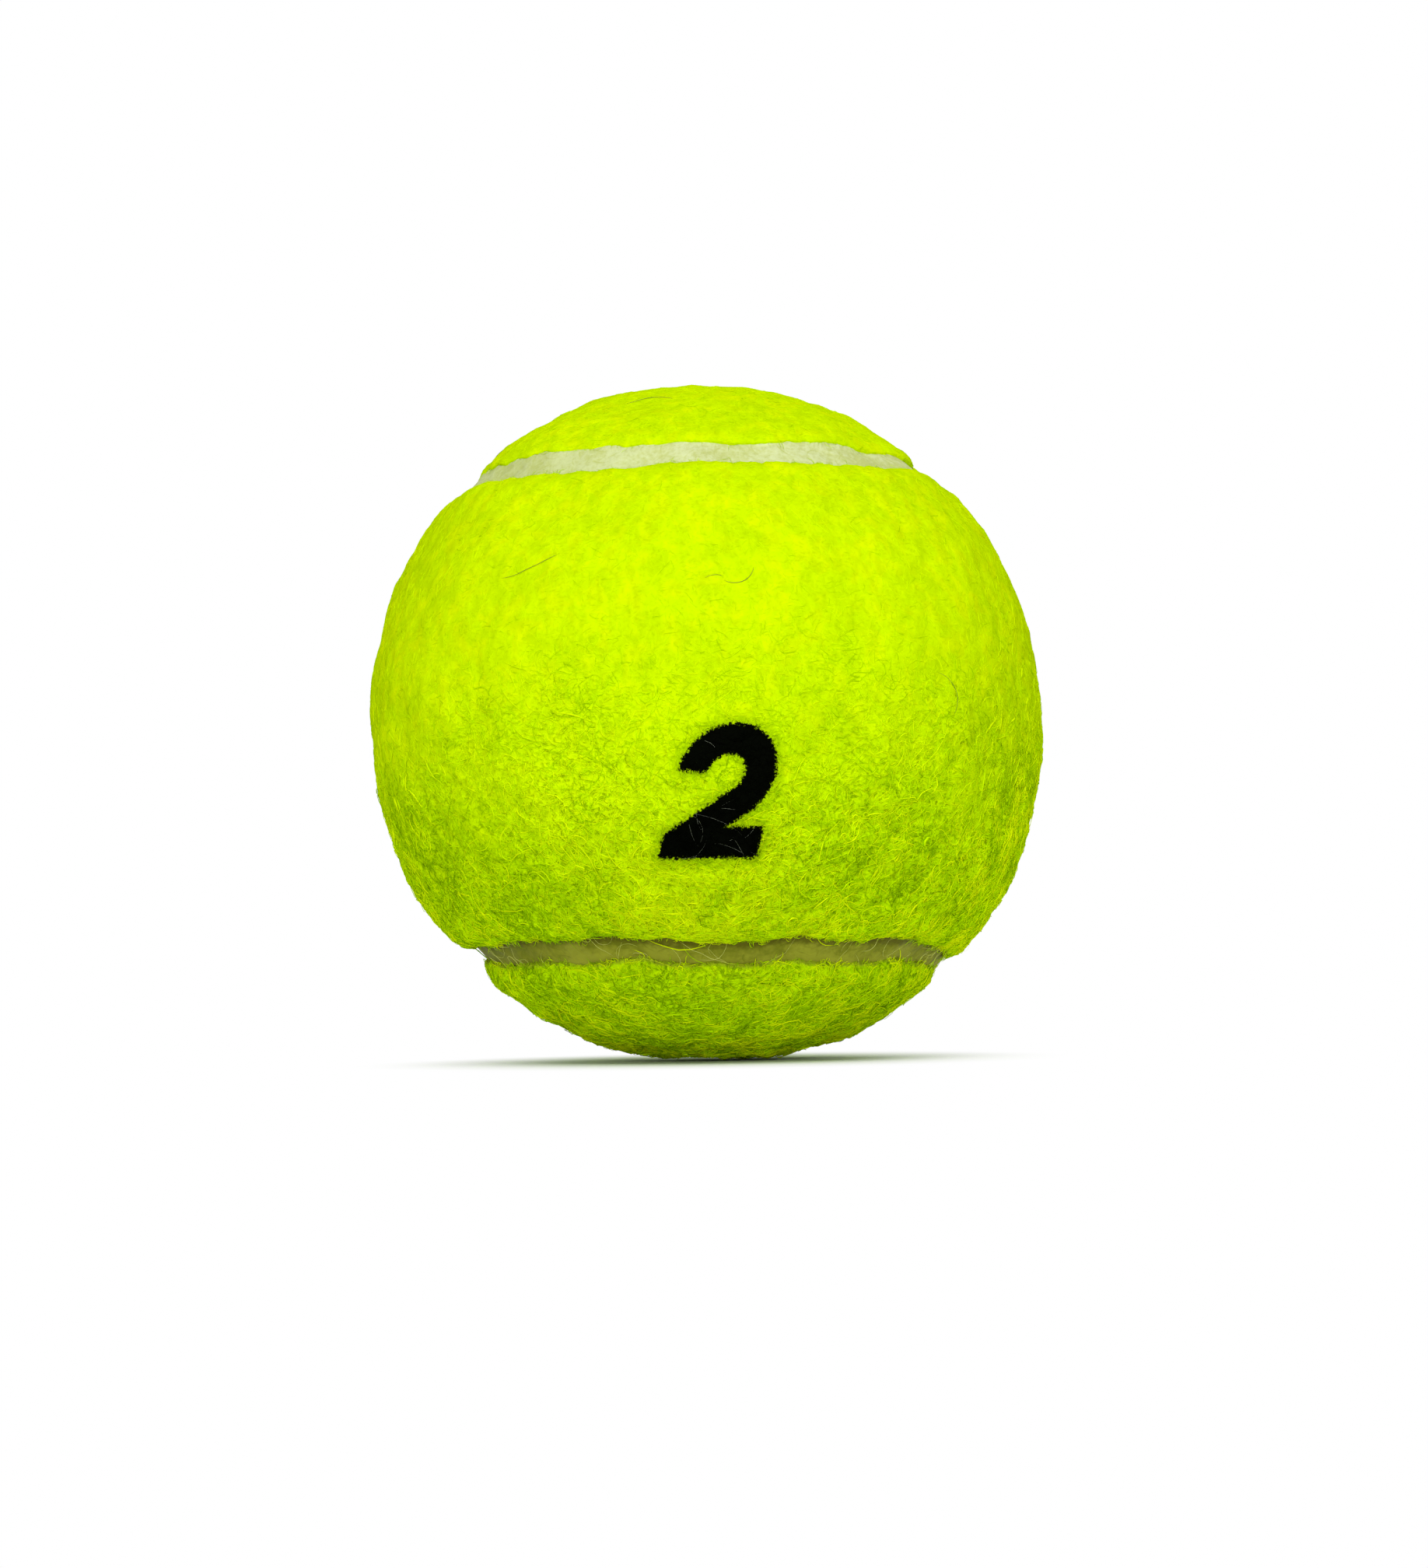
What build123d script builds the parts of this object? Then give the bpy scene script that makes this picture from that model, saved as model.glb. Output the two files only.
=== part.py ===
"""Tennis ball in millimetres: a hollow rubber core, two felt panels and the seam between them.

The origin is the centre of the ball, with +Z up. The waist of the front panel faces -Y and that
of the back panel faces +Y. The seam is four half circles on the ball, each 45 degrees round its
axis: two about Z across the front, and two about X across the back.
"""

import os
from math import asin, cos, degrees, radians, sin

from build123d import *

# Hollow rubber core, moulded in two half shells
core_outer_diameter = 60.0
core_wall = 3.4
joint_cement_thickness = 0.2

# Felt cover, two equal panels that interlock, each cemented to the core
panel_cement_thickness = 0.2
felt_thickness = 3.3
edge_roll_width = 2.6
edge_roll_drop = 1.3

# Rubber seam in the gap between the panels
seam_width = 3.4
seam_recess = 1.5

# Angles in degrees
seam_angle = 45.0
half_turn = 180.0

core_radius = core_outer_diameter / 2
core_bore_radius = core_radius - core_wall
felt_back_radius = core_radius + panel_cement_thickness
ball_radius = felt_back_radius + felt_thickness
felt_lip_radius = ball_radius - edge_roll_drop
seam_face_radius = ball_radius - seam_recess
joint_half_gap = joint_cement_thickness / 2

seam_half_angle = degrees(asin(seam_width / 2 / seam_face_radius))
panel_edge_angle = seam_angle - seam_half_angle
roll_start_angle = panel_edge_angle - degrees(edge_roll_width / ball_radius)

# A panel's own frame: x along its spine, z across its waist, y away from its waist
front_frame = Plane(origin=(0, 0, 0), x_dir=(1, 0, 0), z_dir=(0, 0, 1))
back_frame = Plane(origin=(0, 0, 0), x_dir=(0, 0, 1), z_dir=(1, 0, 0))


def on_circle(radius, angle):
    return (radius * cos(radians(angle)), radius * sin(radians(angle)))


def section_planes(frame):
    # The near end of the spine with the waist's upper side, its lower side, and the far end
    upper = Plane(origin=frame.origin, x_dir=frame.x_dir, z_dir=-frame.y_dir)
    lower = Plane(origin=frame.origin, x_dir=frame.x_dir, z_dir=frame.y_dir)
    far = Plane(origin=frame.origin, x_dir=-frame.x_dir, z_dir=frame.y_dir)
    return upper, lower, far


def waist_axis(frame):
    # A half turn about it goes from the near end of the spine, across the waist, to the far end
    return Axis(frame.origin, -frame.z_dir)


def spine_axis(frame):
    # A half turn about it goes round a lobe, behind the end of the spine
    return Axis(frame.origin, -frame.x_dir)


def ring_sector(plane, inner_radius, outer_radius, start_angle, end_angle):
    # A slice of a ring between two circles and two spokes
    with BuildSketch(plane) as sector:
        with BuildLine():
            inner = CenterArc((0, 0), inner_radius, start_angle, end_angle - start_angle)
            outer = CenterArc((0, 0), outer_radius, start_angle, end_angle - start_angle)
            Line(inner @ 0, outer @ 0)
            Line(inner @ 1, outer @ 1)
        make_face()
    return sector.sketch


def felt_section(plane):
    # From the middle of the panel to its edge, where the nap rolls down to a lip above the seam
    with BuildSketch(plane) as section:
        with BuildLine():
            back = CenterArc((0, 0), felt_back_radius, 0, panel_edge_angle)
            crown = CenterArc((0, 0), ball_radius, 0, roll_start_angle)
            lip = on_circle(felt_lip_radius, panel_edge_angle)
            roll = TangentArc(crown @ 1, lip, tangent=crown % 1)
            Line(roll @ 1, back @ 1)
            Line(back @ 0, crown @ 0)
        make_face()
    return section.sketch


def cement_section(plane):
    return ring_sector(plane, core_radius, felt_back_radius, 0, panel_edge_angle)


def seam_section(plane):
    seam_start = seam_angle - seam_half_angle
    seam_end = seam_angle + seam_half_angle
    return ring_sector(plane, core_radius, seam_face_radius, seam_start, seam_end)


def dog_bone(frame, draw_section):
    # The waist goes half way round the ball, and a lobe closes each end of the spine
    upper, lower, far = section_planes(frame)
    for plane in (upper, lower):
        revolve(draw_section(plane), axis=waist_axis(frame), revolution_arc=half_turn)
    for plane in (upper, far):
        revolve(draw_section(plane), axis=spine_axis(frame), revolution_arc=half_turn)


def seam_half(frame):
    # The two half circles of the seam that run along a waist
    upper, lower, far = section_planes(frame)
    for plane in (upper, lower):
        revolve(seam_section(plane), axis=waist_axis(frame), revolution_arc=half_turn)


def core_shell():
    Sphere(core_radius)
    Sphere(core_bore_radius, mode=Mode.SUBTRACT)


with BuildPart() as core_upper_half:
    core_shell()
    split(bisect_by=Plane.XY.offset(joint_half_gap), keep=Keep.TOP)

with BuildPart() as core_lower_half:
    core_shell()
    split(bisect_by=Plane.XY.offset(-joint_half_gap), keep=Keep.BOTTOM)

with BuildPart() as core_joint_cement:
    core_shell()
    split(bisect_by=Plane.XY.offset(joint_half_gap), keep=Keep.BOTTOM)
    split(bisect_by=Plane.XY.offset(-joint_half_gap), keep=Keep.TOP)

with BuildPart() as front_panel_cement:
    dog_bone(front_frame, cement_section)

with BuildPart() as back_panel_cement:
    dog_bone(back_frame, cement_section)

with BuildPart() as front_felt_panel:
    dog_bone(front_frame, felt_section)

with BuildPart() as back_felt_panel:
    dog_bone(back_frame, felt_section)

with BuildPart() as seam_strip:
    seam_half(front_frame)
    seam_half(back_frame)

core_upper_half.part.label = "core_upper_half"
core_lower_half.part.label = "core_lower_half"
core_joint_cement.part.label = "core_joint_cement"
front_panel_cement.part.label = "front_panel_cement"
back_panel_cement.part.label = "back_panel_cement"
front_felt_panel.part.label = "front_felt_panel"
back_felt_panel.part.label = "back_felt_panel"
seam_strip.part.label = "seam_strip"

os.makedirs("parts", exist_ok=True)
export_step(core_upper_half.part, "parts/core_upper_half.step")
export_step(core_lower_half.part, "parts/core_lower_half.step")
export_step(core_joint_cement.part, "parts/core_joint_cement.step")
export_step(front_panel_cement.part, "parts/front_panel_cement.step")
export_step(back_panel_cement.part, "parts/back_panel_cement.step")
export_step(front_felt_panel.part, "parts/front_felt_panel.step")
export_step(back_felt_panel.part, "parts/back_felt_panel.step")
export_step(seam_strip.part, "parts/seam_strip.step")
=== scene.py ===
import math

import bpy
import numpy as np
from mathutils import Matrix, Vector


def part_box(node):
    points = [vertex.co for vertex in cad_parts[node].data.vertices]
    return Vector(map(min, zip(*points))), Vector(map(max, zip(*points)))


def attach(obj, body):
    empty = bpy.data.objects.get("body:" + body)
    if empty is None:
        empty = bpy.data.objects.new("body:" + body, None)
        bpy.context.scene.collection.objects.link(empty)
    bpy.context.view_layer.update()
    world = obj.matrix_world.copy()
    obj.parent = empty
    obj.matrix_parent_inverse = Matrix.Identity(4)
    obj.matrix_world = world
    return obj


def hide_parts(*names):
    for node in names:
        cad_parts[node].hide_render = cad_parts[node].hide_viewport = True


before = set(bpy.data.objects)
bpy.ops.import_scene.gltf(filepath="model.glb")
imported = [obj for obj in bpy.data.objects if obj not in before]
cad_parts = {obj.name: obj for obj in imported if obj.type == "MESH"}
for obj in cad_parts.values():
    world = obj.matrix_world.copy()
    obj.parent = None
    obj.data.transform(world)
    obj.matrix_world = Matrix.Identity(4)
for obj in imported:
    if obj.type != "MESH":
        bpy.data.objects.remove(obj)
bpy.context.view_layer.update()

mm = 0.001
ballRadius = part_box("front_felt_panel")[1][0]  # the front panel's lobes reach this far along X
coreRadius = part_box("core_joint_cement")[1][0]
print("frame loaded, ball radius", round(ballRadius / mm, 2), "mm")

scene = bpy.context.scene
scene.view_settings.view_transform = "Standard"

# First seed of each random field; its further sizes take the next numbers
seeds = {
    "frontEdge": 100, "backEdge": 110, "lumps": 200, "tufts": 220,
    "seamWave": 300, "patches": 500, "clumps": 600, "swirl": 700,
}


class Signal:  # one socket of a material; arithmetic on it adds Math nodes
    def __init__(self, finish, socket):
        self.finish = finish
        self.socket = socket

    def maths(self, operation, *others):
        return self.finish.node("Math", {"operation": operation}, dict(enumerate((self, *others))))

    def __add__(self, other):
        return self.maths("ADD", other)

    def __sub__(self, other):
        return self.maths("SUBTRACT", other)

    def __rsub__(self, other):
        return self.finish.node("Math", {"operation": "SUBTRACT"}, {0: other, 1: self})

    def __mul__(self, other):
        return self.maths("MULTIPLY", other)

    def __abs__(self):
        return self.maths("ABSOLUTE")

    __radd__ = __add__
    __rmul__ = __mul__


strokeLook = {
    "bend": 1.6,  # of the parabola, over the size of a cell
    "core": 0.2,  # share of its width and length, each way, where a stroke is full
    "faintest": 0.25,
}


class Finish:  # the nodes of one material, or of the world
    def __init__(self, owner):
        self.owner = owner
        owner.use_nodes = True
        self.tree = owner.node_tree
        self.tree.nodes.clear()

    # Adds one node: its settings first, then the values or links of its sockets; gives one output
    def node(self, kind, settings=None, sockets=None, output=0):
        made = self.tree.nodes.new("ShaderNode" + kind)
        for name, value in (settings or {}).items():
            setattr(made, name, value)
        for name, value in (sockets or {}).items():
            if isinstance(value, Signal):
                self.tree.links.new(value.socket, made.inputs[name])
            else:
                made.inputs[name].default_value = value
        return Signal(self, made.outputs[output]) if made.outputs else None

    def blend(self, factor, first, second):  # from the first colour to the second
        return self.node("Mix", {"data_type": "RGBA"}, {0: factor, 6: first, 7: second}, 2)

    def ease(self, value, low, high):  # 0 below low, 1 above high, and a smooth step between
        stops = {"Value": value, "From Min": low, "From Max": high}
        return self.node("MapRange", {"interpolation_type": "SMOOTHSTEP"}, stops)

    # Noise from 0 to 1, its size in metres
    def cloud(self, coords, size, detail=2.0, roughness=0.5, twist=0.0, seed=0.0):
        look = {"Vector": coords, "W": seed, "Scale": 1 / size, "Detail": detail}
        look.update({"Roughness": roughness, "Distortion": twist})
        return self.node("TexNoise", {"noise_dimensions": "4D"}, look)

    def vector(self, operation, first, second=(0, 0, 0)):
        output = 1 if operation == "DOT_PRODUCT" else 0
        return self.node("VectorMath", {"operation": operation}, {0: first, 1: second}, output)

    # Short bent strokes on a ball, one to each random cell: how near a place is to a parabola that
    # starts from the cell's middle in a random direction along the surface
    def strokes(self, places, size, length, width, seed, level=1.0):
        outward = self.vector("NORMALIZE", places)
        shifted = self.vector("ADD", places, (seed, 2 * seed, 3 * seed))
        cell = self.node("TexVoronoi", None, {"Vector": shifted, "Scale": 1 / size}).socket.node
        middle = Signal(self, cell.outputs["Position"])
        chance = Signal(self, cell.outputs["Color"])
        aim = self.vector("SUBTRACT", chance, (0.5, 0.5, 0.5))
        aim = self.vector("MULTIPLY", aim, (1, 1, level))  # a high level lays the strokes flat
        along = self.vector("NORMALIZE", self.vector("CROSS_PRODUCT", outward, aim))
        aside = self.vector("CROSS_PRODUCT", outward, along)
        offset = self.vector("SUBTRACT", shifted, middle)
        u = self.vector("DOT_PRODUCT", offset, along)
        bend, strength = self.split(chance)[:2]
        curve = (bend - 0.5) * (strokeLook["bend"] / size) * u * u
        v = self.vector("DOT_PRODUCT", offset, aside) + curve
        core = strokeLook["core"]
        near = self.ease(abs(v), width, core * width) * self.ease(abs(u), length / 2, core * length)
        return near * between((strokeLook["faintest"], 1), strength)

    def mark(self, name):  # a number that the mesh carries at its points
        return self.node("Attribute", {"attribute_name": name}, output="Fac")

    def ownPlaces(self):  # Object coordinates, in metres
        return self.node("TexCoord", output="Object")

    def split(self, vector):  # the three numbers of a vector
        parts = self.node("SeparateXYZ", None, {0: vector}).socket.node
        return [Signal(self, part) for part in parts.outputs]

    def surface(self, sockets, height=None, depth=0.0):  # the shader, with a bump of that depth
        if height is not None:
            relief = {"Height": height, "Distance": depth, "Strength": 1.0}
            sockets["Normal"] = self.node("Bump", None, relief)
        self.node("OutputMaterial", None, {"Surface": self.node("BsdfPrincipled", None, sockets)})
        return self.owner


def newFinish(name):
    return Finish(bpy.data.materials.new(name))


def unit(vectors):
    return vectors / np.linalg.norm(vectors, axis=-1, keepdims=True)


def between(pair, share):  # from the first of a pair to the second
    return pair[0] + (pair[1] - pair[0]) * share


# Sum of equal plane waves in random directions: a smooth random field with a spread of one
def lumps(points, size, seed, count=36):
    draw = np.random.default_rng(seed)
    waves = unit(draw.normal(size=(count, 3))) * (2 * np.pi / size)
    phases = draw.uniform(0, 2 * np.pi, count)
    field = np.zeros(points.shape[:-1])
    for wave, phase in zip(waves, phases):
        field += np.cos(points @ wave + phase)
    return field * np.sqrt(2 / count)


# Puts whole arrays of points and triangles into a mesh whose object sits at the origin
def addPiece(name, points, triangles, finish, marks, bakeMap=None):
    mesh = bpy.data.meshes.new(name)
    mesh.vertices.add(len(points))
    mesh.vertices.foreach_set("co", points.astype(np.float32).ravel())
    mesh.loops.add(triangles.size)
    mesh.loops.foreach_set("vertex_index", triangles.astype(np.int32).ravel())
    mesh.polygons.add(len(triangles))
    mesh.polygons.foreach_set("loop_start", np.arange(0, triangles.size, 3, dtype=np.int32))
    mesh.polygons.foreach_set("use_smooth", np.ones(len(triangles), dtype=bool))
    for mark, values in marks.items():
        layer = mesh.attributes.new(mark, "FLOAT", "POINT")
        layer.data.foreach_set("value", values.astype(np.float32))
    if bakeMap is not None:
        layer = mesh.uv_layers.new(name="OFBake")
        layer.data.foreach_set("uv", bakeMap.astype(np.float32).ravel())
    mesh.update(calc_edges=True)
    mesh.materials.append(finish)
    piece = bpy.data.objects.new(name, mesh)
    scene.collection.objects.link(piece)
    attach(piece, "root")
    return piece


# Triangles of a grid of rows, each row a closed ring, with points at one place made one point
def ringTriangles(points):
    weld = 1e-4 * mm
    rows, around = points.shape[:2]
    flat = points.reshape(-1, 3)
    places = np.round(flat / weld).astype(np.int64)
    first, same = np.unique(places, axis=0, return_index=True, return_inverse=True)[1:]
    number = same.reshape(rows, around)
    near = number[:-1]
    far = number[1:]
    nearNext = np.roll(near, -1, axis=1)
    farNext = np.roll(far, -1, axis=1)
    halves = [np.stack(c, axis=-1) for c in ((near, nearNext, farNext), (near, farNext, far))]
    triangles = np.concatenate([half.reshape(-1, 3) for half in halves])
    a, b, c = triangles.T
    return flat[first], triangles[(a != b) & (b != c) & (c != a)]


# The two felt panels are one shape: each has its own axes, x along its spine and y behind it
panelAxes = {
    "front": np.array([[1, 0, 0], [0, 1, 0], [0, 0, 1]], dtype=float),
    "back": np.array([[0, 0, 1], [0, -1, 0], [1, 0, 0]], dtype=float),
}
felt = {
    "thickness": 3.3 * mm,
    "napRoom": 0.14 * mm,  # the body lies this far under the ball's surface, the nap fills it
    "seamAngle": math.radians(45),
    "seamWidth": 3.45 * mm,
    # Where the edges stray: direction, spread, and how many mm wider the front and back panels are
    "drift": (
        ((-0.2, -0.68, 0.71), 0.5, -0.6, 0.65),
        ((0.25, -0.65, 0.71), 0.25, 0.2, 0.4),
        ((0.5, -0.5, 0.71), 0.35, 0.55, -0.35),
        ((0.1, -0.71, -0.69), 0.45, 0.85, -0.55),
        ((-0.62, -0.3, 0.71), 0.3, -0.6, 0.9),
        ((0.61, -0.33, 0.72), 0.2, 0.0, 1.1),
        ((-0.69, -0.19, 0.7), 0.12, 0.4, -1.2),
        ((-0.7, -0.05, -0.71), 0.2, -0.6, 0.5),
        ((0.62, -0.28, -0.72), 0.2, 0.5, 0.2),
        ((-0.72, -0.1, -0.69), 0.5, 1.1, 0.0),
        ((0.7, -0.2, -0.69), 0.4, 0.4, -0.25),
        ((0.72, 0.0, -0.7), 0.25, 1.6, 0.0),
        ((0.5, 0.6, 0.5), 0.5, -0.4, 0.4),
        ((-0.5, 0.6, -0.5), 0.5, 0.35, -0.35),
    ),
    # Where the whole ball stands proud or is pressed in: direction, spread and height in mm
    "swell": (
        ((0.966, -0.026, 0.258), 0.3, -0.3),
        ((0.5, -0.087, 0.862), 0.28, -0.35),
        ((-0.342, -0.095, 0.935), 0.28, 0.45),
        ((-0.866, -0.05, 0.498), 0.22, 0.55),
        ((-0.996, 0.009, -0.087), 0.25, 0.2),
        ((-0.616, 0.08, -0.784), 0.28, -0.4),
        ((0.375, 0.094, -0.922), 0.2, 0.4),
        ((0.669, 0.075, -0.739), 0.26, 0.85),
        ((0.587, -0.205, 0.783), 0.09, -1.0),
        ((0.72, -0.19, 0.667), 0.07, 0.2),
        ((-0.257, -0.22, 0.941), 0.12, 0.18),
        ((-0.657, -0.199, 0.727), 0.06, -0.45),
        ((-0.65, -0.047, -0.76), 0.06, 0.25),
        ((-0.496, -0.04, -0.867), 0.1, -0.4),
        ((-0.257, -0.027, -0.966), 0.1, 0.2),
        ((0.4, -0.03, -0.916), 0.1, 0.2),
        ((0.859, -0.074, -0.506), 0.06, 0.4),
        ((0.932, -0.09, -0.35), 0.1, -0.2),
        ((0.04, -0.76, -0.65), 0.14, 0.35),
    ),
    # Where the edges and the seam lie deeper or less deep: direction, spread and share
    "sink": (
        ((0.66, -0.2, 0.72), 0.3, 0.42),
        ((0.7, -0.05, -0.71), 0.35, -0.35),
        ((-0.69, -0.17, 0.71), 0.15, -0.2),
    ),
    # Painted light and shade: where the felt and its strands are painted lighter or darker, in
    # patches above the lower seam: direction, spread and tone
    "paintedLightAndShade": (
        ((0.04, -0.81, -0.58), 0.22, 0.4),
        ((-0.35, -0.88, -0.32), 0.22, 0.2),
        ((0.61, -0.55, -0.56), 0.2, 0.05),
        ((-0.72, -0.37, -0.58), 0.2, -0.2),
        ((-0.53, -0.67, -0.52), 0.16, -0.16),
    ),
    "raise": (0.29, 0.95),  # the nap starts to rise at this height, over this distance, in radii
    "raiseTilt": 0.08,  # it starts higher towards +X
    "raisePatches": (13 * mm, 0.06),  # and strays from that height: size, and spread in radii
    "edgeWander": ((9.0 * mm, 0.13 * mm), (2.6 * mm, 0.09 * mm), (0.9 * mm, 0.05 * mm)),
    # Width and drop of the roll at the edges, first for smooth felt and then for raised felt
    "rollWidth": {"front": (2.2 * mm, 3.4 * mm), "back": (1.6 * mm, 3.4 * mm)},
    "rollDrop": {"front": (0.6 * mm, 1.1 * mm), "back": (0.32 * mm, 1.1 * mm)},
    "rollPower": 2.6,
    "rimWidth": 1.0 * mm,  # the rim's mark goes from 0 to 1 over this
    "lumps": ((22 * mm, 0.18 * mm), (8 * mm, 0.08 * mm), (2.4 * mm, 0.04 * mm)),
    "tufts": ((4.2 * mm, 0.08 * mm), (1.7 * mm, 0.065 * mm)),  # only where the nap is raised
    "bandSteps": 300,
    "lobeSteps": 190,
    "backSteps": 9,
    "edgeRises": (0.3, 0.6, 0.9),  # heights of the points on the cut edge, as shares
    "crownSteps": 60,
    "crownPower": 1.25,  # the steps are closer on the roll
    "flatSize": (47 * mm, 147 * mm),
    "flatArea": 5900 * mm * mm,
}
edgeAngle = felt["seamAngle"] - felt["seamWidth"] / 2 / ballRadius


# Nearest point of the spine, direction from it towards the seam, and the angle between, all in a
# panel's own axes: on the front half the spine is the equator, behind it is the end of the X axis
def spineOf(d):
    tiny = 1e-9
    x, y, z = np.moveaxis(d, -1, 0)
    zero = np.zeros_like(x)
    front = (y < 0)[..., None]
    end = np.where(x < 0, -1.0, 1.0)
    along = np.where(front, np.stack([x, y, zero], -1), np.stack([end, zero, zero], -1))
    away = np.where(front, np.stack([zero, zero, np.sign(z)], -1), np.stack([zero, y, z], -1))
    angle = np.where(y < 0, np.arcsin(np.clip(abs(z), 0, 1)), np.arccos(np.clip(abs(x), 0, 1)))
    away = away / np.maximum(np.linalg.norm(away, axis=-1, keepdims=True), tiny)
    return unit(along), away, angle


def edgeOf(spine, away):  # a panel's true edge: cos of its angle of the spine, sin towards the seam
    return math.cos(edgeAngle) * spine + math.sin(edgeAngle) * away


def bell(d, place, spread):  # a bell curve about a direction
    return np.exp(-((np.linalg.norm(d - unit(np.array(place)), axis=-1) / spread) ** 2))


# Painted light and shade: the sum of the painted patches, below zero where shade is painted
def paintedLightAndShadeTone(d):  # how much lighter the felt is: a sum of bell curves
    return sum(rise * bell(d, place, spread) for place, spread, rise in felt["paintedLightAndShade"])


# How much wider each panel is than its true shape: a sum of bell curves
def edgeDrift(d):
    drift = {"front": np.zeros(d.shape[:-1]), "back": np.zeros(d.shape[:-1])}
    for place, spread, front, back in felt["drift"]:
        drift["front"] += front * mm * bell(d, place, spread)
        drift["back"] += back * mm * bell(d, place, spread)
    return drift


def seamDrift(d):  # the middle of the gap, towards the back panel
    drift = edgeDrift(d)
    return (drift["front"] - drift["back"]) / 2


# How far the cut edge wanders from its true line, from the direction of that edge point: the
# edge's drift, and waves given by their length and height
def edgeWander(edge, side):
    wander = edgeDrift(edge)[side]
    for k, (size, height) in enumerate(felt["edgeWander"]):
        wander += height * lumps(edge * ballRadius, size, seeds[side + "Edge"] + k)
    return wander


# Distance to the cut edge of the panel that a direction lies on, less than zero over the seam
def edgeDistance(d):
    distance = np.full(d.shape[:-1], -np.inf)
    for side, axes in panelAxes.items():
        spine, away, angle = spineOf(d @ axes.T)
        wander = edgeWander(edgeOf(spine, away) @ axes, side)
        distance = np.maximum(distance, (edgeAngle - angle) * ballRadius + wander)
    return distance


# How raised the nap is, from 0, matted smooth, to 1: smooth above and raised below, in patches
def fluff(d):
    top, reach = felt["raise"]
    size, spread = felt["raisePatches"]
    patches = spread * lumps(d * ballRadius, size, seeds["patches"])
    edge = top + felt["raiseTilt"] * d[..., 0] + patches
    rise = np.clip((edge - d[..., 2]) / reach, 0, 1)
    return rise * rise * (3 - 2 * rise)


# How uneven the whole ball is, felt and seam alike: lumps of several sizes, and the swells
def ballLumps(d):
    lumpy = np.zeros(d.shape[:-1])
    for k, (size, height) in enumerate(felt["lumps"]):
        lumpy += height * lumps(d * ballRadius, size, seeds["lumps"] + k)
    for place, spread, height in felt["swell"]:
        lumpy += height * mm * bell(d, place, spread)
    return lumpy


def sinkShare(d):  # how deep the seam lies, as a share of its usual depth
    return 1 + sum(share * bell(d, place, spread) for place, spread, share in felt["sink"])


def onBackPanel(d):  # whether a direction is on the back panel's side of the seam
    x, y, z = np.moveaxis(d, -1, 0)
    half = math.sin(felt["seamAngle"])
    return np.where(y < 0, abs(z) > half, abs(x) < half)


# Radius of the felt: the ball, less the nap's room, with its lumps, and falling at the edge of a
# panel by the roll's drop, as a power of the way from the roll's start to the edge
def feltRadius(d, inside):
    radius = ballRadius - felt["napRoom"] + ballLumps(d)
    raised = fluff(d)
    for k, (size, height) in enumerate(felt["tufts"]):
        radius += height * raised * lumps(d * ballRadius, size, seeds["tufts"] + k)
    back = onBackPanel(d)
    width, drop = (
        np.where(back, between(felt[roll]["back"], raised), between(felt[roll]["front"], raised))
        for roll in ("rollWidth", "rollDrop")
    )
    rolled = (1 - np.clip(inside / width, 0, 1)) ** felt["rollPower"]
    return radius - drop * sinkShare(d) * rolled


# Spine points and directions towards the seam, all round a panel: half way round the ball along
# the upper side, round one lobe, back along the lower side and round the other lobe
def panelLoop():
    band = np.pi * np.arange(felt["bandSteps"]) / felt["bandSteps"]
    lobe = np.pi * np.arange(felt["lobeSteps"]) / felt["lobeSteps"]
    none = np.zeros_like(lobe)
    upper = np.stack([np.cos(band), -np.sin(band), 0 * band], -1)
    lower = np.stack([-np.cos(band), -np.sin(band), 0 * band], -1)
    farEnd = np.stack([none - 1, none, none], -1)
    nearEnd = np.stack([none + 1, none, none], -1)
    up = np.stack([0 * band, 0 * band, 0 * band + 1], -1)
    behindDown = np.stack([none, np.sin(lobe), np.cos(lobe)], -1)
    behindUp = np.stack([none, np.sin(lobe), -np.cos(lobe)], -1)
    spine = np.concatenate([upper, farEnd, lower, nearEnd])
    away = np.concatenate([up, behindDown, -up, behindUp])
    return spine, away


# A panel is its section carried round the loop: along the back to the edge, up the edge, over the
# roll and up the crown; a point at angle b from the spine is cos b of it, sin b towards the seam
def feltPanel(side, finish):
    axes = panelAxes[side]
    spine, away = panelLoop()
    reach = edgeAngle + edgeWander(edgeOf(spine, away) @ axes, side) / ballRadius
    back = np.linspace(0, 1, felt["backSteps"])
    rises = felt["edgeRises"]
    crown = np.linspace(0, 1, felt["crownSteps"]) ** felt["crownPower"]
    share = np.concatenate([back, np.ones(len(rises)), 1 - crown])[:, None]  # of the way out
    b = share * reach
    d = (np.cos(b)[..., None] * spine + np.sin(b)[..., None] * away) @ axes
    top = feltRadius(d, (reach - b) * ballRadius)
    bottom = ballRadius - felt["thickness"]
    rise = np.concatenate([0 * back, rises, np.ones(len(crown))])[:, None]
    points, triangles = ringTriangles(d * (bottom + rise * (top - bottom))[..., None])
    d = unit(points)
    marks = {"fluff": fluff(d), "rim": np.clip(edgeDistance(d) / felt["rimWidth"], 0, 1)}
    # The painted light, the lighter part of the painted patches, as a mark
    marks["paintedLightAndShade"] = np.clip(paintedLightAndShadeTone(d), 0, 1)
    piece = addPiece(side + "_felt", points, triangles, finish, marks)
    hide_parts(side + "_felt_panel")
    print(piece.name, len(triangles), "triangles")
    return piece


seam = {
    "width": 4.3 * mm,  # it runs a little under the felt's edges
    "recess": (0.63 * mm, 1.4 * mm),  # between smooth felt, and between raised felt
    "tilt": 0.18 * mm,  # rise of its back side and fall of its front side, between smooth felt
    "hollow": 0.12 * mm,  # its face is lower in the middle
    "wave": (5.0 * mm, 0.05 * mm),
    "acrossSteps": 14,
}


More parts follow.
